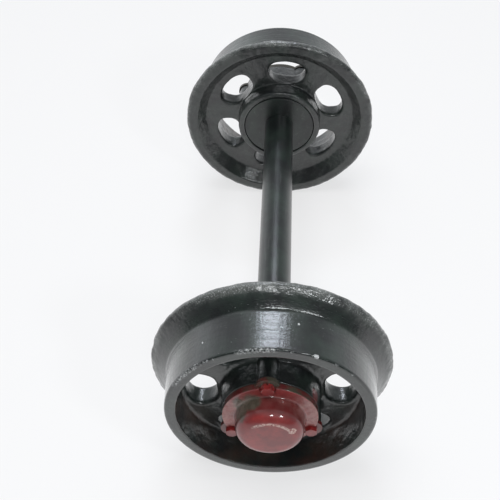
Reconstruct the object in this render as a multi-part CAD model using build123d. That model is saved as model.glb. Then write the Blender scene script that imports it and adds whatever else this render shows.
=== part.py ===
from build123d import *
import math
import os

# Narrow-gauge mine-car wheelset: two flanged wheels that turn on taper roller bearings
# at the ends of one fixed axle. Millimetres. The axle lies along Y, +Z is up and the
# origin is the middle of the axle. Side a is at -Y, side b at +Y.
#
# Every piece of a side is made once about its own Z axis, with z counted outwards from
# the middle of the axle, and is then laid over to its end of the axle. r is a radius.

# ---- Where the wheels stand ----
flange_spacing = 560.0  # between the flanges' back faces
turn_a = 2.5  # how far each wheel happens to be turned, in degrees
turn_b = -22.0

# ---- Wheel casting ----
flange_height = 25.0  # above the tread's root
flange_tip = 10.5  # width of the flange's tip, from its back face
flange_round_back = 7.0
flange_round_front = 5.0
tread_root = 32.0  # where the tread starts, from the flange's back face
tread_root_r = 150.0
tread_round = 8.0  # fillet between flange and tread
tread_drop = 2.7  # how much smaller the tread is at the rim's face
rim_width = 97.5  # from the flange's back face to the rim's face
rim_wall = 15.8  # at the rim's face
rim_edge = 2.5
rim_draft = 2.5
web_setback = 20.5  # from the flange's back face to the web
web_thickness = 31.5
web_fillet = 6.0
dish_rim = 20.0  # flat of the flange's back face, from its tip to the dish
dish_slope = 18.0  # from the dish's lip inwards to its foot, measured square to the axle
hub_overhang = 9.0  # how far the hub stands out behind the flange
hub_length = 97.7
hub_back_wall = 26.0  # around the inner bearing
hub_front_wall = 27.5  # around the outer bearing
hub_draft = 2.5
hub_fillet = 6.0
hub_edge = 4.0

# Windows in the web
window_count = 6
window_rim_gap = 7.0  # web between a window and the rim's inside
window_hub_gap = 1.0  # web between a window and the hub's back
window_half_angle = 18.3
window_corner = 0.47  # radius, as a share of the window's height
window_mouth = 3.0

# ---- Bearing cap and its screws ----
ear_count = 3
ear_first = 90.0  # angle of the first ear, on a spoke
ear_inset = 3.3  # screws' circle, inside the hub's side
ear_r = 16.0
ear_blend = 5.0
boss_r = 14.5
gasket_thickness = 1.0
cap_flange_inset = 0.6  # cap's flange, inside the hub's side
cap_flange_thickness = 9.0
cap_ear_thickness = 5.5
cap_spot_r = 11.5
cap_spigot = 6.0
cap_spigot_clearance = 0.2
cap_spigot_wall = 5.5
cap_wall = 6.5
cap_base_wall = 9.5  # dome's foot, outside the outer bearing
cap_draft = 3.0
cap_height = 35.5  # the dome, above the cap's flange
cap_shoulder = 18.0
cap_crown = 1.2
cap_root_fillet = 3.0

screw_r = 5.0
screw_flats = 16.0
screw_head = 6.4
screw_length = 25.0
screw_hole_clearance = 0.5
screw_hole_spare = 6.0  # depth of the tapped hole past the screw's end
screw_turns = (0.0, 30.0, 30.0)  # how each head happens to stand
spring_washer_thickness = 2.2
spring_washer_width = 3.8
spring_washer_gap = 2.0

# ---- Axle ----
axle_r = 26.0
thread_step = 1.0  # from the outer bearing's bore down to the thread
thread_spare = 3.0  # axle end past the nut
axle_edge = 2.0
centre_hole_r = 3.0
centre_hole_depth = 8.0
tongue_width = 5.0
tongue_depth = 3.0

# ---- Dust disc and oil seal in the back of the hub ----
disc_inset = 0.5
disc_plate = 7.0
disc_rim = 12.1  # hub's end face around the disc, with the gap
disc_gap = 1.2  # running gap around the disc
disc_end_gap = 1.0
sleeve_length = 18.0
sleeve_r = 32.5
seal_width = 8.0
seal_inset = 0.5
seal_lip_gap = 0.3
seal_case = 2.0

# ---- Bearings ----
# width: over cone and cup. bore and cup_wall are shares of outer_r, and cup_wall is taken
# at the middle of the rollers.
inner_bearing = dict(
    outer_r=50.0, bore=0.45, cone_width=25.0, cup_width=22.0, width=27.25,
    cup_angle=13.0, roller_angle=2.0, cup_wall=0.14, roller_length=17.0,
    roller_count=15, rib_width=4.5, rib_height=2.5,
)
outer_bearing = dict(
    outer_r=40.0, bore=0.4375, cone_width=21.0, cup_width=18.0, width=22.75,
    cup_angle=12.0, roller_angle=1.9, cup_wall=0.145, roller_length=13.0,
    roller_count=14, rib_width=4.0, rib_height=2.3,
)
rib_gap = 1.4  # from the big rib to the nearest corner plane of a roller
small_rib = 3.0
small_rib_height = 1.0
roller_clearance = 0.08
roller_edge = 0.6
cage_thickness = 2.0
cage_offset = 1.5  # how far the cage lies outside the rollers' pitch cone
cage_overhang = 2.5
cage_clearance = 0.25

# Shoulders inside the hub
inner_shoulder_height = 6.0
outer_shoulder_height = 4.0
inner_shoulder = 5.0
bearing_land = 15.0  # between the two cups
journal_spare = 10.5  # journal past the inner cone

# ---- Nut, washer and split pin ----
washer_thickness = 3.5
washer_wall = 10.5  # around the thread
nut_flats = 50.0
nut_height = 26.0
castle_height = 9.0
castle_r = 22.5
slot_width = 7.0
slot_depth = 8.0
slot_count = 6
pin_r = 2.9
pin_hole_clearance = 0.25
pin_head_r = 5.0
pin_eye_width = 3.0
pin_leg_r = 1.35
pin_leg_gap = 0.3  # between the two legs
pin_leg = 9.0
pin_stand = 2.2  # legs and eye stand this far clear of the nut's corners

seat_clearance = 0.02  # radial, pressed and ground seats
thread_clearance = 0.05  # radial, plain cylinders stand for the threads

# ---- Radii that follow from others ----
flange_r = tread_root_r + flange_height
dish_lip_r = flange_r - dish_rim
dish_foot_r = dish_lip_r - dish_slope
rim_face_r = tread_root_r - tread_drop
rim_inside_r = rim_face_r - rim_wall
cup_wall_r = rim_inside_r - rim_draft
inner_bore_r = inner_bearing["outer_r"] * inner_bearing["bore"]
outer_bore_r = outer_bearing["outer_r"] * outer_bearing["bore"]
inner_shoulder_r = inner_bearing["outer_r"] - inner_shoulder_height
outer_shoulder_r = outer_bearing["outer_r"] - outer_shoulder_height
thread_r = outer_bore_r - thread_step
washer_r = thread_r + washer_wall
hub_back_r = inner_bearing["outer_r"] + hub_back_wall
hub_front_r = outer_bearing["outer_r"] + hub_front_wall
window_outer_r = cup_wall_r - window_rim_gap
window_inner_r = hub_back_r + window_hub_gap
disc_r = hub_back_r - disc_rim
ear_circle = hub_front_r - ear_inset
cap_flange_r = hub_front_r - cap_flange_inset
cap_base_r = outer_bearing["outer_r"] + cap_base_wall

# ---- Places along the axle, outwards from its middle ----
flange_back = flange_spacing / 2
rim_face = flange_back + rim_width
web_back = flange_back + web_setback
web_front = web_back + web_thickness
hub_back = flange_back - hub_overhang
hub_front = hub_back + hub_length
disc_back = hub_back + disc_inset
disc_front = disc_back + disc_plate
disc_pocket = disc_front + disc_end_gap
seal_back = disc_pocket + seal_inset
shoulder = disc_back + sleeve_length
inner_cone_end = shoulder + inner_bearing["cone_width"]
inner_cup_back = shoulder + inner_bearing["width"]
outer_cup_back = inner_cup_back + bearing_land
outer_cone_back = outer_cup_back + outer_bearing["width"]
journal_end = inner_cone_end + journal_spare
nut_seat = outer_cone_back + washer_thickness
nut_end = nut_seat + nut_height
axle_end = nut_end + thread_spare
pin_place = nut_end - slot_depth / 2
cap_back = hub_front + gasket_thickness
cap_ear_front = cap_back + cap_ear_thickness
cap_flange_front = cap_back + cap_flange_thickness
cap_front = cap_flange_front + cap_height
screw_seat = cap_ear_front + spring_washer_thickness
ear_angles = [ear_first + 360 / ear_count * k for k in range(ear_count)]


# ---- Helpers ----
def turned(*corners):
    """Solid of revolution about Z from its outline's corners (r, z) or (r, z, fillet)."""
    points = [(corner[0], corner[1]) for corner in corners]
    fillets = [corner[2] if len(corner) > 2 else 0 for corner in corners]
    outline = FilletPolyline(*points, radius=fillets, close=True)
    return Rot(90, 0, 0) * revolve(make_face(outline.edges()), Axis.Y)


def ring(inner_r, outer_r, low, high):
    """Plain ring about Z between two heights."""
    return turned((inner_r, low), (outer_r, low), (outer_r, high), (inner_r, high))


def drill(r, low, high):
    """Plain cylinder about Z between two heights."""
    return Pos(0, 0, low) * Cylinder(
        r, high - low, align=(Align.CENTER, Align.CENTER, Align.MIN)
    )


def around(piece, radius, angle):
    """The piece moved out from the Z axis to a radius at an angle."""
    return Rot(0, 0, angle) * Pos(radius, 0, 0) * piece


def hexagon(flats, low, high):
    """Hexagonal prism about Z, a corner towards +X."""
    outline = RegularPolygon(flats / 2, 6, major_radius=False)
    return Pos(0, 0, low) * extrude(outline, high - low)


# ---- Wheel ----
def window_outline(grow):
    """One window of the web, an annular sector with round corners, about +X."""
    half = math.radians(window_half_angle)
    inner = window_inner_r
    outer = window_outer_r
    corner = [
        (inner * math.cos(half), -inner * math.sin(half)),
        (outer * math.cos(half), -outer * math.sin(half)),
        (outer * math.cos(half), outer * math.sin(half)),
        (inner * math.cos(half), inner * math.sin(half)),
    ]
    sector = make_face(
        [
            Line(corner[0], corner[1]),
            ThreePointArc(corner[1], (outer, 0), corner[2]),
            Line(corner[2], corner[3]),
            ThreePointArc(corner[3], (inner, 0), corner[0]),
        ]
    )
    rounded = fillet(sector.vertices(), window_corner * (outer - inner))
    return offset(rounded, grow) if grow else rounded


def window():
    """Cutter for one window: straight through the web, wider at both mouths."""
    wide = window_outline(window_mouth)
    narrow = window_outline(0)
    through = Pos(0, 0, web_back) * extrude(narrow, web_thickness)
    mouth = loft([wide, Pos(0, 0, window_mouth) * narrow], ruled=True)
    mouth += extrude(wide, -web_fillet)
    back = Pos(0, 0, web_back) * mouth
    front = Pos(0, 0, web_front) * Rot(180, 0, 0) * mouth
    return through + back + front


def wheel():
    casting = turned(
        (disc_r + disc_gap, hub_back),
        (hub_back_r, hub_back, hub_edge),
        (hub_back_r, web_back, window_mouth),
        (dish_foot_r, web_back, web_fillet),
        (dish_lip_r, flange_back, hub_edge),
        (flange_r, flange_back, flange_round_back),
        (flange_r, flange_back + flange_tip, flange_round_front),
        (tread_root_r, flange_back + tread_root, tread_round),
        (rim_face_r, rim_face, rim_edge),
        (rim_inside_r, rim_face, rim_edge / 2),
        (cup_wall_r, web_front, web_fillet),
        (hub_front_r + hub_draft, web_front, hub_fillet),
        (hub_front_r, hub_front, rim_edge / 2),
        (outer_bearing["outer_r"] + seat_clearance, hub_front),
        (outer_bearing["outer_r"] + seat_clearance, outer_cup_back),
        (outer_shoulder_r, outer_cup_back),
        (outer_shoulder_r, inner_cup_back + inner_shoulder),
        (inner_shoulder_r, inner_cup_back + inner_shoulder),
        (inner_shoulder_r, inner_cup_back),
        (inner_bearing["outer_r"] + seat_clearance, inner_cup_back),
        (inner_bearing["outer_r"] + seat_clearance, disc_pocket),
        (disc_r + disc_gap, disc_pocket),
    )
    boss = drill(boss_r, web_front - web_thickness / 4, hub_front)
    tapped = drill(screw_r + thread_clearance, tapped_end, hub_front)
    for angle in ear_angles:
        casting += around(boss, ear_circle, angle)
    for angle in ear_angles:
        casting -= around(tapped, ear_circle, angle)
    # The bosses reach into the bore's wall only, never into the bore itself.
    casting -= drill(outer_bearing["outer_r"] + seat_clearance, outer_cup_back, hub_front)
    cutter = window()
    for k in range(window_count):
        casting -= Rot(0, 0, 360 / window_count * k) * cutter
    return casting


# ---- Cap, gasket and screws ----
tapped_end = screw_seat - screw_length - screw_hole_spare


def cap_outline():
    """Outline of the cap's flange: a disc with three ears blended into it."""
    outline = Circle(cap_flange_r)
    for angle in ear_angles:
        outline += Rot(0, 0, angle) * Pos(ear_circle, 0) * Circle(ear_r)
    return fillet(outline.vertices(), ear_blend)


def screw_holes(low, high):
    """Clearance holes for the screws between two heights."""
    hole = drill(screw_r + screw_hole_clearance, low, high)
    return [around(hole, ear_circle, angle) for angle in ear_angles]


def cap():
    spigot_r = outer_bearing["outer_r"] + seat_clearance - cap_spigot_clearance
    shoulder_r = cap_base_r - cap_draft
    # A little under the radius of the curve through the crown's corners.
    crown_r = 0.9 * shoulder_r**2 / (2 * cap_crown)
    inside_fillet = cap_shoulder - cap_wall
    dome = turned(
        (spigot_r - cap_spigot_wall, cap_back - cap_spigot, 1),
        (spigot_r, cap_back - cap_spigot, 1),
        (spigot_r, cap_back),
        (cap_flange_r, cap_back),
        (cap_flange_r, cap_flange_front, 1.5),
        (cap_base_r, cap_flange_front, cap_root_fillet),
        (shoulder_r, cap_front - cap_crown, cap_shoulder),
        (shoulder_r / 4, cap_front - cap_crown / 16, crown_r),
        (0, cap_front),
        (0, cap_front - cap_wall),
        (shoulder_r - cap_wall, cap_front - cap_crown - cap_wall, inside_fillet),
        (cap_base_r - cap_wall, cap_ear_front),
        (spigot_r - cap_spigot_wall, cap_ear_front),
    )
    ears = Pos(0, 0, cap_back) * extrude(cap_outline(), cap_ear_thickness)
    ears -= drill(cap_flange_r - cap_wall, cap_back, cap_ear_front)
    body = dome + ears
    spot = drill(cap_spot_r, cap_ear_front, cap_flange_front)
    for angle in ear_angles:
        body -= around(spot, ear_circle, angle)
    for hole in screw_holes(cap_back, cap_ear_front):
        body -= hole
    return body


def cap_gasket():
    bore_r = outer_bearing["outer_r"] + screw_hole_clearance
    gasket = Pos(0, 0, hub_front) * extrude(cap_outline(), gasket_thickness)
    gasket -= drill(bore_r, hub_front, cap_back)
    for hole in screw_holes(hub_front, cap_back):
        gasket -= hole
    return gasket


def cap_screws():
    corner_r = screw_flats / 2 / math.cos(math.pi / 6)
    top = screw_seat + screw_head
    end = screw_seat - screw_length
    envelope = turned(
        (0, screw_seat), (corner_r, screw_seat), (corner_r, top - 1.0),
        (screw_flats / 2 - 0.3, top), (0, top),
    )
    head = hexagon(screw_flats, screw_seat, top) & envelope
    shank = turned((0, end), (screw_r - 1, end), (screw_r, end + 1), (screw_r, screw_seat), (0, screw_seat))
    screws = []
    for angle, turn in zip(ear_angles, screw_turns):
        # A head keeps its own stance, so the turn around the cap is taken off again.
        screws.append(around(Rot(0, 0, turn - angle) * (head + shank), ear_circle, angle))
    return Compound(children=screws)


def spring_washers():
    inner_r = screw_r + 0.2
    blank = ring(inner_r, inner_r + spring_washer_width, cap_ear_front, screw_seat)
    slit_place = Pos(inner_r + spring_washer_width / 2, 0, (cap_ear_front + screw_seat) / 2)
    slit = slit_place * Rot(25, 0, 0) * Box(
        2 * spring_washer_width, spring_washer_gap, 4 * spring_washer_thickness
    )
    washer = blank - slit
    return Compound(children=[around(washer, ear_circle, angle) for angle in ear_angles])


# ---- Bearings ----
def bearing(size):
    """Cone, cup, rollers and cage. The cone's back face is at z = 0, the rollers' apex above."""
    cup_slope = math.radians(size["cup_angle"])
    pitch_slope = math.radians(size["cup_angle"] - size["roller_angle"])
    cone_slope = math.radians(size["cup_angle"] - 2 * size["roller_angle"])
    half = size["roller_length"] / 2
    middle = size["rib_width"] + half + rib_gap
    # The cup's track, the cone's track and the rollers' axes all meet at one apex.
    race_r = size["outer_r"] * (1 - size["cup_wall"])
    bore_r = size["outer_r"] * size["bore"]
    apex = middle + race_r / math.tan(cup_slope)
    slant = (apex - middle) / math.cos(pitch_slope)
    taper = math.tan(math.radians(size["roller_angle"]))
    mean_r = slant * taper - roller_clearance
    big_r = mean_r + half * taper
    small_r = mean_r - half * taper
    pitch_r = (apex - middle) * math.tan(pitch_slope)

    def cup_track(z):
        return (apex - z) * math.tan(cup_slope)

    def cone_track(z):
        return (apex - z) * math.tan(cone_slope)

    track_start = size["rib_width"]
    track_end = size["cone_width"] - small_rib
    rib_r = cone_track(track_start) + size["rib_height"]
    small_rib_r = cone_track(track_end) + small_rib_height
    cone = turned(
        (bore_r, 0, 1),
        (rib_r, 0, 1),
        (rib_r, track_start),
        (cone_track(track_start), track_start),
        (cone_track(track_end), track_end),
        (small_rib_r, track_end),
        (small_rib_r, size["cone_width"], 0.5),
        (bore_r, size["cone_width"], 1),
    )
    cup_front = size["width"] - size["cup_width"]
    cup = turned(
        (cup_track(cup_front), cup_front, 0.5),
        (size["outer_r"], cup_front, 1),
        (size["outer_r"], size["width"], 1),
        (cup_track(size["width"]), size["width"], 0.5),
    )
    # A roller about its own axis, thick end down, then leant to the pitch cone.
    roller = turned(
        (0, -half),
        (big_r, -half, roller_edge),
        (small_r, half, roller_edge),
        (0, half),
    )
    pocket = turned(
        (0, -half - cage_clearance),
        (big_r + cage_clearance, -half - cage_clearance),
        (small_r + cage_clearance, half + cage_clearance),
        (0, half + cage_clearance),
    )
    lean = Pos(pitch_r, 0, middle) * Rot(0, -math.degrees(pitch_slope), 0)
    step = 360 / size["roller_count"]
    angles = [step * k for k in range(size["roller_count"])]
    rollers = Compound(children=[Rot(0, 0, angle) * lean * roller for angle in angles])
    low = middle - half - cage_overhang
    high = middle + half + cage_overhang

    def cage_r(z, side):
        return (apex - z) * math.tan(pitch_slope) + cage_offset + side * cage_thickness / 2

    cage = turned(
        (cage_r(low, -1), low),
        (cage_r(low, 1), low),
        (cage_r(high, 1), high),
        (cage_r(high, -1), high),
    )
    for angle in angles:
        cage -= Rot(0, 0, angle) * lean * pocket
    return dict(cone=cone, cup=cup, rollers=rollers, cage=cage)


# ---- Dust disc, oil seal, washer, nut and split pin ----
def dust_disc():
    bore_r = axle_r + seat_clearance
    return turned(
        (bore_r, disc_back),
        (disc_r, disc_back, 1.0),
        (disc_r, disc_front),
        (sleeve_r, disc_front, 1.5),
        (sleeve_r, shoulder, 0.5),
        (bore_r, shoulder),
    )


def oil_seal():
    low = seal_back
    high = seal_back + seal_width
    outer = inner_bearing["outer_r"]
    lip_r = sleeve_r + seal_lip_gap
    return turned(
        (lip_r + 1.5, low),
        (outer, low, 0.5),
        (outer, high, 0.5),
        (outer - seal_case, high),
        (outer - seal_case, low + seal_case, 1.0),
        (lip_r + 5, low + seal_case, 1.0),
        (lip_r + 3.5, high - seal_case),
        (lip_r, high - seal_case - 1),
    )


def tongued_washer():
    hole_r = thread_r + 0.3
    washer = ring(hole_r, washer_r, outer_cone_back, nut_seat)
    depth = tongue_depth - thread_clearance
    tongue = Pos(0, thread_r - depth / 2 + 0.5, (outer_cone_back + nut_seat) / 2) * Box(
        tongue_width - 2 * thread_clearance, depth + 1, washer_thickness
    )
    return washer + tongue


def castle_nut():
    bore_r = thread_r + thread_clearance
    corner_r = nut_flats / 2 / math.cos(math.pi / 6)
    castle = nut_end - castle_height
    envelope = turned(
        (0, nut_seat), (nut_flats / 2, nut_seat), (corner_r, nut_seat + 2),
        (corner_r, castle - 2), (nut_flats / 2, castle), (0, castle),
    )
    nut = hexagon(nut_flats, nut_seat, castle) & envelope
    nut += drill(castle_r, castle, nut_end)
    nut -= drill(bore_r, nut_seat, nut_end)
    slot = Pos(castle_r, 0, nut_end - slot_depth / 2) * Box(
        2 * castle_r, slot_width, slot_depth
    )
    for k in range(slot_count):
        nut -= Rot(0, 0, 360 / slot_count * k) * slot
    return nut


def split_pin():
    reach = nut_flats / 2 / math.cos(math.pi / 6) + pin_stand
    eye_place = castle_r + pin_head_r
    length = castle_r + eye_place - pin_head_r + pin_eye_width / 2
    pin = Pos(length / 2 - castle_r, 0, 0) * Rot(0, 90, 0) * Cylinder(pin_r, length)
    pin += Pos(eye_place, 0, 0) * Cylinder(pin_head_r, pin_eye_width)
    pin -= Pos(eye_place, 0, 0) * Cylinder(pin_head_r - pin_eye_width, 2 * pin_head_r)
    leg_place = pin_leg_r + pin_leg_gap / 2
    for side in (-1, 1):
        path = FilletPolyline(
            (-castle_r + pin_leg_r, side * leg_place),
            (-reach, side * leg_place),
            (-reach, side * (leg_place + pin_leg)),
            radius=2 * pin_leg_r,
        )
        pin += sweep(Plane(path @ 0, z_dir=path % 0) * Circle(pin_leg_r), path)
    return Pos(0, 0, pin_place) * pin


# ---- Axle ----
def axle():
    inner_r = inner_bore_r - seat_clearance
    outer_r = outer_bore_r - seat_clearance
    half = [
        (axle_r, shoulder),
        (inner_r, shoulder),
        (inner_r, journal_end),
        (outer_r, journal_end),
        (outer_r, outer_cone_back - 1),
        (thread_r, outer_cone_back - 1),
        (thread_r, axle_end - axle_edge),
        (thread_r - axle_edge, axle_end),
        (0, axle_end),
    ]
    bar = turned(*half, *[(r, -z) for r, z in reversed(half)])
    for end in (0, 180):
        bar -= Rot(end, 0, 0) * end_cuts()
    return bar


def end_cuts():
    """What is cut into one end of the axle: centre hole, tongue groove, pin hole."""
    tip = axle_end - centre_hole_depth
    centre = turned(
        (0, tip), (centre_hole_r, tip + centre_hole_r), (centre_hole_r, axle_end - 2),
        (centre_hole_r + 2, axle_end), (0, axle_end),
    )
    groove_start = outer_cone_back - 1
    groove_length = axle_end - groove_start
    groove = Pos(0, thread_r - tongue_depth / 2, groove_start + groove_length / 2) * Box(
        tongue_width, tongue_depth, groove_length
    )
    pin_hole = Pos(0, 0, pin_place) * Rot(0, 90, 0) * Cylinder(
        pin_r + pin_hole_clearance, 2 * axle_r
    )
    return Compound(children=[centre, groove, pin_hole])


# ---- Putting the sides together ----
def side_pieces():
    """Every piece of one side except the axle, and whether it turns with the wheel."""
    inner = bearing(inner_bearing)
    outer = bearing(outer_bearing)
    pieces = dict(
        wheel=wheel(),
        bearing_cap=cap(),
        cap_gasket=cap_gasket(),
        cap_screws=cap_screws(),
        spring_washers=spring_washers(),
        oil_seal=oil_seal(),
    )
    fixed = dict(
        dust_disc=dust_disc(),
        tongued_washer=tongued_washer(),
        castle_nut=castle_nut(),
        split_pin=split_pin(),
    )
    for part, shape in inner.items():
        pieces["inner_" + part] = Pos(0, 0, shoulder) * shape
    for part, shape in outer.items():
        pieces["outer_" + part] = Pos(0, 0, outer_cone_back) * Rot(180, 0, 0) * shape
    return pieces, fixed


os.makedirs("parts", exist_ok=True)
turning, still = side_pieces()
for side, lay, turn in (("a", 90, turn_a), ("b", -90, turn_b)):
    for name, shape in turning.items():
        placed = Rot(lay, 0, 0) * Rot(0, 0, turn) * shape
        export_step(placed, f"parts/{name}_{side}.step")
    for name, shape in still.items():
        export_step(Rot(lay, 0, 0) * shape, f"parts/{name}_{side}.step")
export_step(Rot(-90, 0, 0) * axle(), "parts/axle.step")
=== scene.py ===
import math

import bmesh
import bpy
import numpy as np
from mathutils import Euler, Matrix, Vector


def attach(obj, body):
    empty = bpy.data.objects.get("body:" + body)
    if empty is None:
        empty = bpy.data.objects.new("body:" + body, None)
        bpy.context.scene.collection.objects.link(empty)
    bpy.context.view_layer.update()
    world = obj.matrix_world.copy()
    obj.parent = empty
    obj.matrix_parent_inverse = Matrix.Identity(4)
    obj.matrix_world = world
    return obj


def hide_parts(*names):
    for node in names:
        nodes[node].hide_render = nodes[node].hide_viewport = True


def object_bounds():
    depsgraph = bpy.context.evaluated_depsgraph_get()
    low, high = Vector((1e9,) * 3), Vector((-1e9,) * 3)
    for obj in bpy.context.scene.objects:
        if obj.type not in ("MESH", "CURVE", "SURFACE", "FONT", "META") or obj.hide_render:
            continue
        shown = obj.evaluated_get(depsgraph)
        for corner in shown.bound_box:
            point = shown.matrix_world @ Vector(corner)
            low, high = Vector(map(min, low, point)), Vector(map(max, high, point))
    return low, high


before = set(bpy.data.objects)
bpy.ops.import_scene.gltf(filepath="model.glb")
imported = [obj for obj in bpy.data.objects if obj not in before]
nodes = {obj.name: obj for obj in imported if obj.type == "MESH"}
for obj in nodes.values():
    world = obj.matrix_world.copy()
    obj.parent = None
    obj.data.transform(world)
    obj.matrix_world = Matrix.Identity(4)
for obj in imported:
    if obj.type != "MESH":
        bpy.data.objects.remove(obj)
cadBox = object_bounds()
print("frame loaded")

mm = 0.001


# Values of a lattice of random numbers, blended between lattice points with a quintic step
def latticeNoise(points, size, seed):
    place = points / size
    corner = np.floor(place).astype(np.int64)
    part = place - corner
    blend = part**3 * (part * (part * 6 - 15) + 10)
    total = np.zeros(len(points))
    for dx in (0, 1):
        for dy in (0, 1):
            for dz in (0, 1):
                x, y, z = corner[:, 0] + dx, corner[:, 1] + dy, corner[:, 2] + dz
                mixed = (x * 73856093) ^ (y * 19349663) ^ (z * 83492791) ^ (seed * 2654435761)
                mixed = (mixed ^ (mixed >> 13)) * 1274126177 & 0xFFFFFFFF
                mixed = (mixed ^ (mixed >> 16)) * 2246822519 & 0xFFFFFFFF
                value = (mixed >> 8) / 2**23 - 1
                wx = blend[:, 0] if dx else 1 - blend[:, 0]
                wy = blend[:, 1] if dy else 1 - blend[:, 1]
                wz = blend[:, 2] if dz else 1 - blend[:, 2]
                total += value * wx * wy * wz
    return total


# Layers of the noise above, each half as large and about half as strong as the last
def layeredNoise(points, size, layers, seed):
    total = np.zeros(len(points))
    for k in range(layers):
        total += 0.5**k * latticeNoise(points, size / 2**k, seed + k)
    return total


# 0 below low, 1 above high, a cubic with level ends between
def smoothStep(value, low, high):
    t = np.clip((value - low) / (high - low), 0, 1)
    return t * t * (3 - 2 * t)


# Outline through corners (r, u, fillet): straight runs cut into steps, each fillet an arc
def filletLine(corners, step):
    points = [np.array(corners[0][:2], float)]
    for before, corner, after in zip(corners[:-2], corners[1:-1], corners[2:]):
        here = np.array(corner[:2], float)
        toBack = np.array(before[:2], float) - here
        toFront = np.array(after[:2], float) - here
        toBack /= np.linalg.norm(toBack)
        toFront /= np.linalg.norm(toFront)
        radius = corner[2] if len(corner) > 2 else 0
        if radius == 0:
            points.append(here)
            continue
        opening = math.acos(np.clip(toBack @ toFront, -1, 1))
        reach = radius / math.tan(opening / 2)
        middle = toBack + toFront
        middle *= radius / math.sin(opening / 2) / np.linalg.norm(middle)
        start, end = here + toBack * reach, here + toFront * reach
        count = max(2, int(math.ceil(radius * (math.pi - opening) / step)))
        a, b = start - here - middle, end - here - middle
        sweep = math.pi - opening
        for k in range(count + 1):
            t = k / count * sweep
            arc = (a * math.sin(sweep - t) + b * math.sin(t)) / math.sin(sweep)
            points.append(here + middle + arc)
    points.append(np.array(corners[-1][:2], float))
    fine = [points[0]]
    for a, b in zip(points[:-1], points[1:]):
        cuts = max(1, int(math.ceil(np.linalg.norm(b - a) / step)))
        fine += [a + (b - a) * (k + 1) / cuts for k in range(cuts)]
    return np.array(fine)


# Quads between neighbouring points of a grid, with the last column joined to the first if it wraps
def gridQuads(rows, columns, wraps):
    index = np.arange(rows * columns).reshape(rows, columns)
    if wraps:
        index = np.concatenate([index, index[:, :1]], axis=1)
    a, b = index[:-1, :-1].ravel(), index[1:, :-1].ravel()
    c, d = index[1:, 1:].ravel(), index[:-1, 1:].ravel()
    return np.stack([a, b, c, d], axis=1)


# One list of points and quads from several grids (r, angle, u), with shared edges joined
def weldGrids(grids):
    points, quads, start = [], [], 0
    for grid, wraps in grids:
        rows, columns = grid.shape[:2]
        flat = grid.reshape(-1, 3)
        x = flat[:, 0] * np.cos(flat[:, 1])
        y = flat[:, 0] * np.sin(flat[:, 1])
        points.append(np.stack([x, y, flat[:, 2]], axis=1))
        quads.append(gridQuads(rows, columns, wraps) + start)
        start += rows * columns
    points, quads = np.concatenate(points), np.concatenate(quads)
    keys = np.round(points * 500).astype(np.int64)
    _, first, inverse = np.unique(keys, axis=0, return_index=True, return_inverse=True)
    quads = inverse.reshape(-1)[quads]
    return points[first], quads


# Closed mesh with its faces turned outwards, and the direction that each point faces
def newMesh(name, points, quads):
    mesh = bpy.data.meshes.new(name)
    mesh.from_pydata(points.tolist(), [], quads.tolist())
    work = bmesh.new()
    work.from_mesh(mesh)
    bmesh.ops.recalc_face_normals(work, faces=work.faces)
    work.to_mesh(mesh)
    work.free()
    mesh.shade_smooth()
    facing = np.empty(3 * len(points))
    mesh.vertices.foreach_get("normal", facing)
    return mesh, facing.reshape(-1, 3)


# A wheel casting in millimetres: r from the axle's line, u along it, outwards from its middle.
# The profiles' corners are (r, u, fillet).
wheelForm = {
    "around": 384,
    "step": 2.1,
    "webBack": 300.5,
    "webFront": 332.0,
    "cupRadius": 129.0,
    "cupFillet": 6.0,
    "hubFillet": 6.0,
    "hubBackFillet": 3.0,
    "hubBackRadius": 76.0,
    "hubRootRadius": 70.0,
    "hubEndRadius": 67.5,
    "hubEnd": 368.7,
    "hubEdge": 1.25,
    "bossRadius": 14.5,
    "bossCircle": 64.2,
    "bossBlend": 3.0,
    "windowCentre": 99.4,
    "windowHalfWidth": 32.9,
    "windowHalfHeight": 22.6,
    "windowPower": 2.6,
    "windowMouth": 5.0,
    "backEdgeRadius": 130.0,
    "flangeRadius": 175.0,
    "shell": [
        (137.0, 300.5, 6.0),
        (155.0, 280.0, 4.0),
        (175.0, 280.0, 7.0),
        (175.0, 290.5, 5.0),
        (150.0, 312.0, 8.0),
        (147.3, 377.5, 2.5),
        (131.5, 377.5, 1.25),
    ],
    "bore": [
        (40.02, 368.7),
        (40.02, 331.75),
        (36.0, 331.75),
        (36.0, 321.75),
        (44.0, 321.75),
        (44.0, 316.75),
        (50.02, 316.75),
        (50.02, 279.5),
        (65.1, 279.5),
        (65.1, 271.6),
    ],
    "rear": [(65.1, 271.6), (65.7, 271.0), (76.0, 271.0, 4.0)],
}
filletShare = math.radians(30)  # where the web's grid meets the grid on a fillet
sectorSide = 10  # cuts in each straight side of a window's sector
sectorRings = 9  # rings from a sector's sides to the window's mouth
throatRows = 8  # rows through a window, from face to face


# Radius of the hub's side at an angle: a drafted cylinder and three bosses, blended smoothly
def hubSide(angle, u, form, bossAngles):
    share = (u - form["webFront"]) / (form["hubEnd"] - form["webFront"])
    radius = form["hubRootRadius"] + (form["hubEndRadius"] - form["hubRootRadius"]) * share
    for boss in bossAngles:
        apart = angle - boss
        across = form["bossCircle"] * np.sin(apart)
        rise = np.sqrt(np.maximum(form["bossRadius"] ** 2 - across**2, 0))
        outer = np.where(np.cos(apart) > 0, form["bossCircle"] * np.cos(apart) + rise, 0)
        gap = outer - radius
        radius = (outer + radius + np.sqrt(gap**2 + form["bossBlend"] ** 2)) / 2
    return radius - form["bossBlend"] ** 2 / 30


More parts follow.
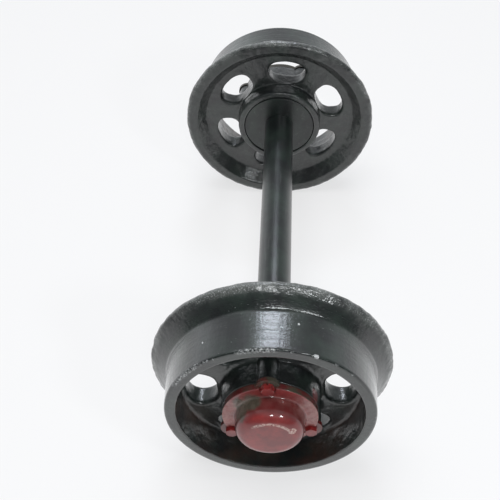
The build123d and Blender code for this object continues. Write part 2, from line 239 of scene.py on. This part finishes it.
# Height of the web's front above its plane: fillets of the hub and of the cup's wall
def frontHeight(r, angle, form, bossAngles):
    hub = hubSide(angle, form["webFront"] + form["hubFillet"], form, bossAngles)
    inner = np.clip(form["hubFillet"] - (r - hub), 0, form["hubFillet"])
    outer = np.clip(r - form["cupRadius"] + form["cupFillet"], 0, form["cupFillet"])
    height = form["hubFillet"] - np.sqrt(form["hubFillet"] ** 2 - inner**2)
    return height + form["cupFillet"] - np.sqrt(form["cupFillet"] ** 2 - outer**2)


# Height of the web's back above its plane: the fillet of the hub's back
def backHeight(r, angle, form, bossAngles):
    fillet = form["hubBackFillet"]
    inner = np.clip(fillet - (r - form["hubBackRadius"]), 0, fillet)
    return fillet - np.sqrt(fillet**2 - inner**2)


# Window outline at a polar angle about its centre: a superellipse, in arc length and radius
def windowReach(polar, grow, innerShare, form):
    width = form["windowHalfWidth"] + grow
    low = form["windowHalfHeight"] + grow * innerShare
    high = form["windowHalfHeight"] + grow
    height = np.where(np.sin(polar) < 0, low, high)
    power = form["windowPower"]
    across = np.abs(np.cos(polar) / width) ** power
    along = np.abs(np.sin(polar) / height) ** power
    return (across + along) ** (-1 / power)


# One face of one window's sixth of the web: rings from the window's mouth out to the sector's
# four sides, then the mouth's rounding down to the throat
def webSector(centre, inner, outer, face, sign, height, innerShare, form, bossAngles):
    perArc = form["around"] // 6
    middle = form["windowCentre"]
    half = math.pi / 6
    sweep = np.linspace(-half, half, perArc + 1)
    outerArc = np.stack([sweep, np.full_like(sweep, outer)], axis=1)
    innerArc = np.stack([sweep, inner(centre + sweep)], axis=1)[::-1]
    share = np.linspace(0, 1, sectorSide + 1)[1:-1]
    rightFoot, leftFoot = innerArc[0, 1], innerArc[-1, 1]
    right = np.stack([np.full_like(share, half), outer + (rightFoot - outer) * share], axis=1)
    left = np.stack([np.full_like(share, -half), leftFoot + (outer - leftFoot) * share], axis=1)
    rim = np.concatenate([outerArc, right, innerArc, left])
    rimFlat = np.stack([rim[:, 0] * middle, rim[:, 1] - middle], axis=1)
    polar = np.arctan2(rimFlat[:, 1], rimFlat[:, 0])
    direction = np.stack([np.cos(polar), np.sin(polar)], axis=1)
    mouth = form["windowMouth"]
    rings = []
    for t in np.linspace(0, 1, sectorRings):
        lip = direction * windowReach(polar, mouth, innerShare, form)[:, None]
        flat = rimFlat + (lip - rimFlat) * t**0.85
        r, angle = flat[:, 1] + middle, flat[:, 0] / middle + centre
        rings.append(np.stack([r, angle, face + sign * height(r, angle, form, bossAngles)], axis=1))
    for t in np.linspace(0, math.pi / 2, 5)[1:]:
        lip = direction * windowReach(polar, mouth * (1 - math.sin(t)), innerShare, form)[:, None]
        r, angle = lip[:, 1] + middle, lip[:, 0] / middle + centre
        stand = height(r, angle, form, bossAngles) * math.cos(t) - mouth * (1 - math.cos(t))
        rings.append(np.stack([r, angle, face + sign * stand], axis=1))
    return np.array(rings)


# A line of (r, u) carried round the axle's line
def revolve(line, angles):
    r = np.repeat(line[:, :1], len(angles), axis=1)
    u = np.repeat(line[:, 1:2], len(angles), axis=1)
    return np.stack([r, np.broadcast_to(angles, r.shape), u], axis=2)


# The grids of one casting, each as (r, angle, u), with whether its columns join at the ends:
# the outer shell, the hub from its front through its bore to its back, and six window sectors
def wheelGrids(turn, form):
    bossAngles = [turn + math.radians(90 + 120 * k) for k in range(3)]
    angles = turn + math.pi / 6 + np.arange(form["around"]) * 2 * math.pi / form["around"]
    cup, fillet = form["cupRadius"], form["cupFillet"]
    front, back = form["webFront"], form["webBack"]
    rise = [filletShare * (1 - k / 3) for k in range(4)]
    cupArc = [(cup - fillet + fillet * math.cos(t), front + fillet - fillet * math.sin(t)) for t in rise]
    shell = filletLine([(form["backEdgeRadius"], back), *form["shell"], cupArc[-1]], form["step"])
    shell = np.concatenate([shell, np.array(cupArc[::-1][1:])])
    grids = [(revolve(shell, angles), True)]

    hubFillet = form["hubFillet"]
    hubRows = []
    root = hubSide(angles, front + hubFillet, form, bossAngles)
    for t in rise:
        r = root + hubFillet * (1 - math.cos(t))
        hubRows.append(np.stack([r, angles, np.full_like(r, front + hubFillet * (1 - math.sin(t)))], axis=1))
    hubEdge, hubEnd = form["hubEdge"], form["hubEnd"]
    for u in np.linspace(front + hubFillet, hubEnd - hubEdge, 15)[1:]:
        r = hubSide(angles, u, form, bossAngles)
        hubRows.append(np.stack([r, angles, np.full_like(r, u)], axis=1))
    for t in np.radians([30, 60, 90]):
        r = hubSide(angles, hubEnd, form, bossAngles) - hubEdge * (1 - math.cos(t))
        hubRows.append(np.stack([r, angles, np.full_like(r, hubEnd - hubEdge * (1 - math.sin(t)))], axis=1))
    hubRows = np.array(hubRows)
    hubBack = form["hubBackFillet"]
    backArc = [
        (form["hubBackRadius"] + hubBack * (1 - math.cos(t)), back - hubBack * (1 - math.sin(t)))
        for t in rise
    ]
    rear = filletLine([*form["rear"], backArc[-1]], form["step"])
    rear = np.concatenate([rear, np.array(backArc[::-1][1:])])
    inside = revolve(np.concatenate([np.array(form["bore"]), rear[1:]]), angles)
    grids.append((np.concatenate([hubRows, inside]), True))

    def frontInner(angle):
        side = hubSide(angle, front + hubFillet, form, bossAngles)
        return side + hubFillet * (1 - math.cos(filletShare))

    def backInner(angle):
        return np.full_like(angle, backArc[0][0])

    # The inner side of a mouth's rounding is cut down where the hub's fillet leaves no room
    frontShare, backShare = 0.9, 0.02
    cupFoot, backEdge = cupArc[0][0], form["backEdgeRadius"]
    for k in range(6):
        centre = turn + k * math.pi / 3
        near = webSector(centre, frontInner, cupFoot, front, 1, frontHeight, frontShare, form, bossAngles)
        far = webSector(centre, backInner, backEdge, back, -1, backHeight, backShare, form, bossAngles)
        share = np.linspace(0, 1, throatRows)[:, None, None]
        throat = near[-1][None] * (1 - share) + far[-1][None] * share
        grids += [(near, True), (far, True), (throat, True)]
    return grids


# Displacement along the normal, in millimetres: coarse and fine casting skin, a rough flange
# edge and, on the turned tread, shallow ridges left by the tool
castSkin = {
    "coarse": 0.30,
    "coarseSize": 14,
    "fine": 0.16,
    "fineSize": 5,
    "edge": 0.7,
    "edgeSize": 11,
    "ridge": 0.05,
    "ridgePeriod": 7.9,
    "ridgeStart": 305,
}


# A casting's mesh: the grids welded, turned to its side of the axle and given its skin.
# Its attributes say how much a point is as cast, turned, or on the flange's edge.
def buildWheel(name, side, turnDegrees, seed):
    form = wheelForm
    points, quads = weldGrids(wheelGrids(math.radians(turnDegrees), form))
    placed = np.stack([points[:, 0], -side * points[:, 2], side * points[:, 1]], axis=1)
    mesh, facing = newMesh(name, placed * mm, quads)
    r = np.hypot(points[:, 0], points[:, 1])
    u = points[:, 2]
    turned = smoothStep(r, 145.5, 146.5) * smoothStep(u, 296, 304)
    turned = np.maximum(turned, smoothStep(u, 376.2, 377.2) * smoothStep(r, 120, 128))
    hidden = smoothStep(66.5 - r, 0, 0.5) * (u < 368.6)
    cast = (1 - turned) * (1 - hidden)
    edge = smoothStep(r, 166, 173)
    rough = layeredNoise(points, castSkin["edgeSize"], 3, seed + 20)
    shift = cast * castSkin["coarse"] * layeredNoise(points, castSkin["coarseSize"], 2, seed)
    shift += cast * castSkin["fine"] * layeredNoise(points, castSkin["fineSize"], 2, seed + 10)
    shift += edge * castSkin["edge"] * np.minimum(rough - 0.55, 0)
    wave = np.sin(u * 2 * math.pi / castSkin["ridgePeriod"] + 1.3 * np.sin(u * 0.31 + seed))
    shift += turned * castSkin["ridge"] * wave * (u > castSkin["ridgeStart"])
    placed += facing * shift[:, None]
    reach = np.hypot(placed[:, 0], placed[:, 2])
    placed[:, 0:3:2] *= np.minimum(1, (form["flangeRadius"] - 0.02) / reach)[:, None]
    mesh.vertices.foreach_set("co", (placed * mm).ravel())
    mesh.update()
    for label, values in {"cast": cast, "turned": turned, "flangeEdge": edge}.items():
        layer = mesh.attributes.new(label, "FLOAT", "POINT")
        layer.data.foreach_set("value", values.astype(np.float32))
    piece = bpy.data.objects.new(name, mesh)
    bpy.context.scene.collection.objects.link(piece)
    print(name, "has", 2 * len(quads), "triangles")
    return piece


# side is the sign of -Y, turn in degrees about the axle
wheels = {
    "wheel_a": {"side": 1, "turn": 2.5, "seed": 11},
    "wheel_b": {"side": -1, "turn": -22.0, "seed": 57},
}
castings = {}
for node, wheel in wheels.items():
    piece = buildWheel(node + "_casting", wheel["side"], wheel["turn"], wheel["seed"])
    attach(piece, node)
    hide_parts(node)
    castings[node] = piece
print("castings made")


# Short names for making nodes in one tree. place is what its patterns read.
class Nodes:
    def __init__(self, owner, coordinates):
        owner.use_nodes = True
        self.tree = owner.node_tree
        self.place = self.node("ShaderNodeTexCoord").outputs[coordinates]

    def node(self, kind, **settings):
        made = self.tree.nodes.new(kind)
        for key, value in settings.items():
            setattr(made, key, value)
        return made

    def put(self, socket, value):
        if isinstance(value, bpy.types.NodeSocket):
            self.tree.links.new(value, socket)
        elif isinstance(value, tuple) and len(value) == 3 and socket.type == "RGBA":
            socket.default_value = (*value, 1)
        else:
            socket.default_value = value

    # A node with its named or numbered inputs set or linked
    def filled(self, kind, inputs, **settings):
        made = self.node(kind, **settings)
        for key, value in inputs.items():
            self.put(made.inputs[key], value)
        return made

    def math(self, kind, a, b=0.0):
        return self.filled("ShaderNodeMath", {0: a, 1: b}, operation=kind).outputs[0]

    # start below low, end above high, straight between
    def between(self, value, low, high, start=0.0, end=1.0):
        inputs = {"Value": value, "From Min": low, "From Max": high, "To Min": start, "To Max": end}
        return self.filled("ShaderNodeMapRange", inputs, clamp=True).outputs[0]

    def mixColour(self, share, a, b, blend="MIX"):
        inputs = {"Factor": share, "A": a, "B": b}
        return self.filled("ShaderNodeMix", inputs, data_type="RGBA", blend_type=blend).outputs["Result"]

    def mixNumber(self, share, a, b):
        inputs = {"Factor": share, "A": a, "B": b}
        return self.filled("ShaderNodeMix", inputs, data_type="FLOAT").outputs["Result"]

    def axes(self):
        return self.filled("ShaderNodeSeparateXYZ", {0: self.place}).outputs


class Shader(Nodes):
    def __init__(self, name):
        self.material = bpy.data.materials.new(name)
        super().__init__(self.material, "Object")
        self.surface = self.tree.nodes["Principled BSDF"]

    def attribute(self, name):
        return self.node("ShaderNodeAttribute", attribute_name=name).outputs["Fac"]

    def noise(self, scale, detail, roughness, stretch=None):
        where = self.place
        if stretch:
            where = self.filled("ShaderNodeMapping", {"Vector": where, "Scale": stretch}).outputs[0]
        inputs = {"Vector": where, "Scale": scale, "Detail": detail, "Roughness": roughness}
        return self.filled("ShaderNodeTexNoise", inputs).outputs["Fac"]

    def bump(self, height, strength, distance, below=None):
        inputs = {"Height": height, "Strength": strength, "Distance": distance}
        if below is not None:
            inputs["Normal"] = below
        return self.filled("ShaderNodeBump", inputs).outputs[0]

    # 1 at a place, 0 a size away from it, with its edge broken up by a noise
    def spot(self, place, size, ragged):
        apart = self.filled("ShaderNodeVectorMath", {0: self.place, 1: place}, operation="DISTANCE")
        reach = self.math("MULTIPLY", apart.outputs["Value"], 1 / size)
        reach = self.math("ADD", reach, self.math("MULTIPLY", ragged, 1.6))
        return self.between(reach, 1.75, 1.45)

    # Distance from the axle's line, and place along it from the axle's middle
    def aroundAxle(self):
        x, y, z = self.axes()
        square = self.math("ADD", self.math("MULTIPLY", x, x), self.math("MULTIPLY", z, z))
        return self.math("SQRT", square), self.math("ABSOLUTE", y)

    def finish(self, colour, roughness, normal, coat=0.0, coatRoughness=0.1, metallic=0.0):
        inputs = {"Base Color": colour, "Roughness": roughness, "Metallic": metallic}
        inputs |= {"Normal": normal, "Coat Normal": normal}
        inputs |= {"Coat Weight": coat, "Coat Roughness": coatRoughness}
        for key, value in inputs.items():
            self.put(self.surface.inputs[key], value)
        return self.material


# Black gloss paint over a casting and its turned tread
blackPaint = {
    "deep": (0.0065, 0.0082, 0.0085),
    "thin": (0.017, 0.027, 0.0215),
    "dust": (0.12, 0.125, 0.118),
    "oxide": (0.050, 0.020, 0.013),
    "bare": (0.47, 0.48, 0.48),
    "redMist": (0.22, 0.035, 0.035),
}
# Places where the paint is knocked off, in metres
chips = [
    {"place": (0.0605, -0.3773, 0.1340), "size": 0.0042},
    {"place": (0.0377, -0.3319, 0.1447), "size": 0.0018},
    {"place": (-0.089, -0.3450, 0.1190), "size": 0.0015},
]
# Where the rim is scraped, in metres
scrapes = [
    {"place": (-0.112, -0.3772, 0.090), "size": 0.030},
    {"place": (-0.020, -0.3772, 0.146), "size": 0.030},
]
overspray = {"place": (0.064, -0.360, 0.030), "size": 0.013}


def wheelPaint():
    s = Shader("black_paint_on_casting")
    radius, along = s.aroundAxle()
    cast = s.attribute("cast")
    turned = s.attribute("turned")
    edge = s.attribute("flangeEdge")
    patches = s.noise(22, 5, 0.6)
    grain = s.noise(260, 4, 0.65)
    specks = s.noise(700, 2, 0.5)
    rough = s.noise(560, 4, 0.7)
    colour = s.mixColour(s.between(patches, 0.42, 0.68), blackPaint["deep"], blackPaint["thin"])
    # Dust lies on what is as cast, less of it outside the web's back
    dusty = s.math("MULTIPLY", s.between(s.noise(48, 6, 0.7), 0.5, 0.8), cast)
    kept = s.math("SUBTRACT", 1.0, s.math("MULTIPLY", s.between(along, 0.295, 0.32), 0.75))
    dusty = s.math("MULTIPLY", dusty, kept)
    colour = s.mixColour(s.math("MULTIPLY", dusty, 0.4), colour, blackPaint["dust"])
    # Reddish dirt in the cup
    inCup = s.math("MULTIPLY", s.between(radius, 0.088, 0.112), s.between(along, 0.3305, 0.334))
    inCup = s.math("MULTIPLY", inCup, s.math("SUBTRACT", 1.0, s.between(radius, 0.1315, 0.1325)))
    rusty = s.math("MULTIPLY", inCup, s.between(s.noise(17, 5, 0.65), 0.42, 0.66))
    colour = s.mixColour(s.math("MULTIPLY", rusty, 0.7), colour, blackPaint["oxide"])
    # Overspray of the cap's red on the end of the hub
    mist = s.spot(overspray["place"], overspray["size"], patches)
    colour = s.mixColour(s.math("MULTIPLY", mist, 0.75), colour, blackPaint["redMist"])
    # The flange's edge is dusty and chipped, the rim's front edge scuffed and scraped
    chipped = s.math("MULTIPLY", edge, s.between(rough, 0.53, 0.66))
    chipped = s.math("MULTIPLY", chipped, s.between(patches, 0.36, 0.60))
    worn = s.math("MULTIPLY", edge, s.between(patches, 0.40, 0.62))
    colour = s.mixColour(s.math("MULTIPLY", worn, 0.7), colour, blackPaint["dust"])
    rimEdge = s.math("MULTIPLY", s.between(along, 0.3755, 0.377), s.between(radius, 0.142, 0.1455))
    scuff = s.math("MULTIPLY", rimEdge, s.between(s.noise(60, 5, 0.75), 0.56, 0.66))
    scuff = s.math("MULTIPLY", scuff, s.between(rough, 0.45, 0.55))
    chipped = s.math("MAXIMUM", chipped, scuff)
    scraped = s.math("MULTIPLY", s.between(radius, 0.1405, 0.1435), s.between(along, 0.3735, 0.3755))
    scraped = s.math("MULTIPLY", scraped, s.between(s.noise(330, 6, 0.8), 0.47, 0.60))
    for scrape in scrapes:
        near = s.spot(scrape["place"], scrape["size"], patches)
        chipped = s.math("MAXIMUM", chipped, s.math("MULTIPLY", near, scraped))
    speck = s.math("MULTIPLY", turned, s.between(specks, 0.76, 0.775))
    chipped = s.math("MAXIMUM", chipped, speck)
    for chip in chips:
        chipped = s.math("MAXIMUM", chipped, s.spot(chip["place"], chip["size"], grain))
    colour = s.mixColour(s.math("MULTIPLY", chipped, 0.85), colour, blackPaint["bare"])
    roughness = s.mixNumber(cast, 0.27, 0.42)
    roughness = s.math("ADD", roughness, s.math("MULTIPLY", dusty, 0.2))
    # Turning marks run around the tread, fine skin of the mould covers the rest
    grooves = s.noise(1.0, 3, 0.6, stretch=(5, 260, 5))
    runs = s.noise(1.0, 3, 0.6, stretch=(70, 5, 70))
    skin = s.bump(grain, 0.3, 0.0011)
    skin = s.bump(s.math("MULTIPLY", s.noise(60, 4, 0.6), cast), 0.45, 0.0035, skin)
    marks = s.bump(s.math("MULTIPLY", grooves, turned), 1.0, 0.00013, skin)
    marks = s.bump(s.math("MULTIPLY", runs, turned), 0.3, 0.0010, marks)
    return s.finish(colour, roughness, marks, coat=0.95, coatRoughness=0.075)


# Red gloss paint on the bearing caps and their screws
redPaint = {
    "deep": (0.150, 0.0075, 0.0075),
    "light": (0.26, 0.022, 0.020),
    "shade": (0.055, 0.004, 0.004),
    # grime: for dirt, and for painted shade on the far cap's flange edge
    "grime": (0.036, 0.045, 0.028),
    # worn: a pale tone, for the dust on the flange and for the painted highlight on the dome
    "worn": (0.62, 0.46, 0.40),
}
# Where a cap was handled and dirt has stuck, in metres
smudges = [
    {"place": (-0.036, -0.387, 0.029), "size": 0.019},
    {"place": (-0.024, -0.385, 0.042), "size": 0.016},
    {"place": (0.004, -0.371, 0.074), "size": 0.013},
    {"place": (0.022, 0.390, 0.038), "size": 0.020},
]
# The pale line on the near dome, and the patch at its end: a painted highlight along the dome's front edge,
# partly pale worn paint
highlightAndWearLine = {
    "line": {"place": (0.008, -0.412, 0.036), "size": 0.034},
    "end": {"place": (0.031, -0.4116, 0.017), "size": 0.006},
}


# Caps have dirt, dust and wear, painted shade and a painted highlight at their places, and screws only the
# paint
def capPaint(dirtShadeAndHighlight):
    s = Shader("red_paint_on_cap" if dirtShadeAndHighlight else "red_paint_on_screws")
    blotch = s.noise(40, 5, 0.65)
    colour = s.mixColour(s.between(blotch, 0.4, 0.7), redPaint["deep"], redPaint["light"])
    roughness = 0.5
    if dirtShadeAndHighlight:
        radius, along = s.aroundAxle()
        x, y, z = s.axes()
        dirt = s.between(s.noise(28, 6, 0.65), 0.60, 0.72)
        dirt = s.math("MULTIPLY", dirt, 0.5)
        for smudge in smudges:
            dirt = s.math("MAXIMUM", dirt, s.spot(smudge["place"], smudge["size"], blotch))
        # Painted shade: the sides of the dome and the flange's edge are darkened below their fronts
        domeSide = s.math("MULTIPLY", s.between(along, 0.3785, 0.380), s.between(along, 0.408, 0.401))
        domeSide = s.math("MULTIPLY", domeSide, s.between(radius, 0.0435, 0.0450))
        outerEdge = s.math("MULTIPLY", s.between(radius, 0.0645, 0.0660), s.between(along, 0.3786, 0.3781))
        shaded = s.math("MULTIPLY", s.math("MAXIMUM", domeSide, outerEdge), 0.65)
        colour = s.mixColour(shaded, colour, redPaint["shade"])
        # Darkened to the grime colour on the flange's edge: black overspray from the wheel in patches on the
        # near cap, and painted shade all over on the far cap
        sprayAndFarShade = s.math("MAXIMUM", s.between(blotch, 0.45, 0.6), s.between(y, 0.0, 0.1))
        dirt = s.math("MAXIMUM", dirt, s.math("MULTIPLY", outerEdge, sprayAndFarShade))
        colour = s.mixColour(s.math("MULTIPLY", dirt, 0.85), colour, redPaint["grime"])
        # Pale dust lies on the front of the flange
        dusty = s.math("MULTIPLY", s.between(along, 0.3770, 0.3784), s.between(radius, 0.046, 0.052))
        dusty = s.math("MULTIPLY", dusty, s.between(s.noise(90, 5, 0.7), 0.36, 0.64))
        dusty = s.math("MULTIPLY", dusty, s.between(z, 0.056, 0.034))
        colour = s.mixColour(s.math("MULTIPLY", dusty, 0.26), colour, redPaint["worn"])
        # Painted highlight along the front edge of the dome, where the paint is partly worn pale
        edgeLine = s.math("MULTIPLY", s.between(radius, 0.0300, 0.0318), s.between(radius, 0.0358, 0.0342))
        line, end = highlightAndWearLine["line"], highlightAndWearLine["end"]
        edgeLine = s.math("MULTIPLY", edgeLine, s.spot(line["place"], line["size"], blotch))
        edgeLine = s.math("MAXIMUM", edgeLine, s.spot(end["place"], end["size"], blotch))
        pale = s.math("MULTIPLY", edgeLine, s.between(s.noise(330, 4, 0.7), 0.40, 0.56))
        colour = s.mixColour(s.math("MULTIPLY", pale, 0.75), colour, redPaint["worn"])
        roughness = s.math("ADD", s.math("MULTIPLY", dirt, 0.25), roughness)
    peel = s.bump(s.noise(110, 3, 0.5), 0.12, 0.0012)
    fine = s.bump(s.noise(700, 3, 0.5), 0.05, 0.0003, peel)
    return s.finish(colour, roughness, fine, coat=0.85, coatRoughness=0.05)


def barPaint():
    s = Shader("black_paint_on_bar")
    patches = s.between(s.noise(30, 5, 0.6), 0.42, 0.7)
    colour = s.mixColour(patches, blackPaint["deep"], blackPaint["thin"])
    streaks = s.noise(9, 4, 0.6, stretch=(14, 1, 14))
    colour = s.mixColour(s.math("MULTIPLY", s.between(streaks, 0.6, 0.75), 0.25), colour, blackPaint["dust"])
    normal = s.bump(s.noise(120, 4, 0.6), 0.2, 0.0008)
    return s.finish(colour, 0.32, normal, coat=0.45, coatRoughness=0.24)


def plainSteel(name, colour, roughness):
    s = Shader(name)
    shade = s.mixColour(s.noise(90, 4, 0.6), colour, tuple(c * 0.7 for c in colour))
    normal = s.bump(s.noise(500, 3, 0.6), 0.1, 0.0003)
    return s.finish(shade, roughness, normal, metallic=1.0)


def fibre(name, colour):
    s = Shader(name)
    shade = s.mixColour(s.noise(300, 4, 0.6), colour, tuple(c * 0.6 for c in colour))
    return s.finish(shade, 0.7, s.bump(s.noise(800, 3, 0.6), 0.3, 0.0003))


finishes = {
    "wheel": wheelPaint(),
    "bearing_cap": capPaint(True),
    "cap_screws": capPaint(False),
    "axle": barPaint(),
    "cap_gasket": fibre("gasket_fibre", (0.03, 0.022, 0.02)),
    "oil_seal": fibre("seal_rubber", (0.02, 0.02, 0.02)),
}
finishes["spring_washers"] = finishes["cap_screws"]
finishes["dust_disc"] = finishes["axle"]
ground = plainSteel("ground_steel", (0.58, 0.58, 0.59), 0.2)
machined = plainSteel("machined_steel", (0.5, 0.49, 0.47), 0.35)
for part in ("inner_cone", "outer_cone", "inner_cup", "outer_cup", "inner_rollers", "outer_rollers"):
    finishes[part] = ground
for part in ("inner_cage", "outer_cage", "tongued_washer", "castle_nut", "split_pin"):
    finishes[part] = machined


def dress(piece, material):
    piece.data.materials.clear()
    piece.data.materials.append(material)


for name, piece in nodes.items():
    kind = name if name == "axle" else name[:-2]
    dress(piece, finishes[kind])
for piece in castings.values():
    dress(piece, finishes["wheel"])
print("materials made")


floorLevel = cadBox[0][2]
# The floor glows for the camera and for mirrored rays. In front of the part, from floorTo to
# roomFrom along Y, the mirrored floor fades into a dark room.
stage = {
    "size": 40.0,
    "floor": (0.92, 0.92, 0.925),
    "glow": (0.885, 0.885, 0.89),
    "glowShare": 0.75,
    "room": (0.03, 0.03, 0.035),
    "roomFrom": -1.9,
    "floorTo": -0.85,
}


def floorSheet():
    half = stage["size"] / 2
    corners = [(-half, -half), (half, -half), (half, half), (-half, half)]
    mesh = bpy.data.meshes.new("floor")
    mesh.from_pydata([(x, y, floorLevel) for x, y in corners], [], [(0, 1, 2, 3)])
    floor = bpy.data.objects.new("floor", mesh)
    bpy.context.scene.collection.objects.link(floor)
    s = Shader("pale_floor")
    s.put(s.surface.inputs["Base Color"], stage["floor"])
    s.put(s.surface.inputs["Roughness"], 0.6)
    s.put(s.surface.inputs["Specular IOR Level"], 0.2)
    path = s.node("ShaderNodeLightPath").outputs
    x, y, z = s.axes()
    ahead = s.between(y, stage["roomFrom"], stage["floorTo"], 1.0, 0.0)
    mirrored = s.math("MULTIPLY", ahead, path["Is Glossy Ray"])
    tone = s.mixColour(mirrored, stage["glow"], stage["room"])
    glow = s.filled("ShaderNodeEmission", {"Color": tone})
    looked = s.math("MAXIMUM", path["Is Camera Ray"], path["Is Glossy Ray"])
    share = s.math("MULTIPLY", looked, stage["glowShare"])
    shaders = {0: share, 1: s.surface.outputs[0], 2: glow.outputs[0]}
    blend = s.filled("ShaderNodeMixShader", shaders)
    s.put(s.tree.nodes["Material Output"].inputs["Surface"], blend.outputs[0])
    mesh.materials.append(s.material)


floorSheet()


# The room that lights the part: levels by height (Z of the direction), pale at the horizon and
# darker overhead, brighter on the left and dark in front
room = {
    "levels": [
        (0.0, 0.95),
        (0.25, 0.78),
        (0.58, 0.38),
        (0.68, 0.38),
        (0.78, 0.92),
        (0.90, 0.78),
        (1.0, 0.34),
    ],
    "tint": (0.965, 1.0, 1.03),
    "left": 1.3,
    "right": 0.72,
    "front": 0.18,
    "frontFrom": -0.5,
    "frontTo": 0.35,
    "backdrop": (0.91, 0.91, 0.91),
}


def makeWorld():
    world = bpy.data.worlds.new("studio")
    bpy.context.scene.world = world
    s = Nodes(world, "Generated")
    x, y, z = s.axes()
    ramp = s.filled("ShaderNodeValToRGB", {0: z})
    elements = ramp.color_ramp.elements
    while len(elements) < len(room["levels"]):
        elements.new(0.5)
    for element, (place, level) in zip(elements, room["levels"]):
        element.position = place
        element.color = (*(level * part for part in room["tint"]), 1)
    sides = s.between(x, -1.0, 1.0, room["left"], room["right"])
    depth = s.between(y, room["frontFrom"], room["frontTo"], room["front"], 1.0)
    both = s.math("MULTIPLY", sides, depth)
    shade = s.mixColour(1.0, ramp.outputs[0], both, "MULTIPLY")
    path = s.node("ShaderNodeLightPath").outputs
    seen = s.mixColour(path["Is Camera Ray"], shade, room["backdrop"])
    s.put(s.tree.nodes["Background"].inputs["Color"], seen)


makeWorld()
print("stage and world made")


# Panels aimed at the middle of the object: one behind for the streak on the treads, one
# overhead that isn't mirrored, two small ones in front for the spots on the dome
lamps = {
    "panel_behind": {
        "place": (0.02, 2.48, 3.77),
        "size": (1.5, 0.5),
        "power": 44,
        "colour": (0.84, 0.89, 1.0),
        "mirrored": True,
    },
    "panel_over": {
        "place": (-0.3, -0.1, 3.9),
        "size": (3.0, 2.4),
        "power": 100,
        "colour": (1.0, 1.0, 1.0),
        "mirrored": False,
    },
    "lamp_front": {
        "place": (0.169, -1.627, 1.617),
        "size": (0.34, 0.20),
        "power": 8.5,
        "colour": (0.95, 0.98, 1.0),
        "mirrored": True,
    },
    "lamp_front_right": {
        "place": (1.105, -1.395, 1.395),
        "size": (0.30, 0.24),
        "power": 9.5,
        "colour": (0.95, 0.98, 1.0),
        "mirrored": True,
    },
}
for name, lamp in lamps.items():
    light = bpy.data.lights.new(name, "AREA")
    light.shape = "RECTANGLE"
    light.size, light.size_y = lamp["size"]
    light.energy = lamp["power"]
    light.color = lamp["colour"]
    holder = bpy.data.objects.new(name, light)
    holder.location = lamp["place"]
    towards = -np.array(lamp["place"])
    flat = math.hypot(towards[0], towards[1])
    tilt, heading = math.atan2(flat, -towards[2]), math.atan2(-towards[0], towards[1])
    holder.rotation_euler = Euler((tilt, 0, heading))
    holder.visible_glossy = lamp["mirrored"]
    bpy.context.scene.collection.objects.link(holder)
print(len(lamps), "lamps placed")


# Degrees, and the lens in millimetres on a sensor 36 mm wide
cameraSet = {
    "place": (0.0282, -1.1025, 1.0637),
    "yaw": 3.79,
    "pitch": 45.38,
    "roll": -2.0,
    "lens": 66.01,
}
camera = bpy.data.objects.new("camera", bpy.data.cameras.new("camera"))
camera.location = cameraSet["place"]
turned = Euler((math.radians(90 - cameraSet["pitch"]), 0, math.radians(cameraSet["yaw"]))).to_matrix()
rolled = Euler((0, 0, math.radians(cameraSet["roll"]))).to_matrix()
camera.rotation_euler = (turned @ rolled).to_euler()
camera.data.lens = cameraSet["lens"]
camera.data.sensor_width = 36
camera.data.clip_start = 0.01
bpy.context.scene.collection.objects.link(camera)
bpy.context.scene.camera = camera
bpy.context.scene.view_settings.view_transform = "Standard"

print("scene made")
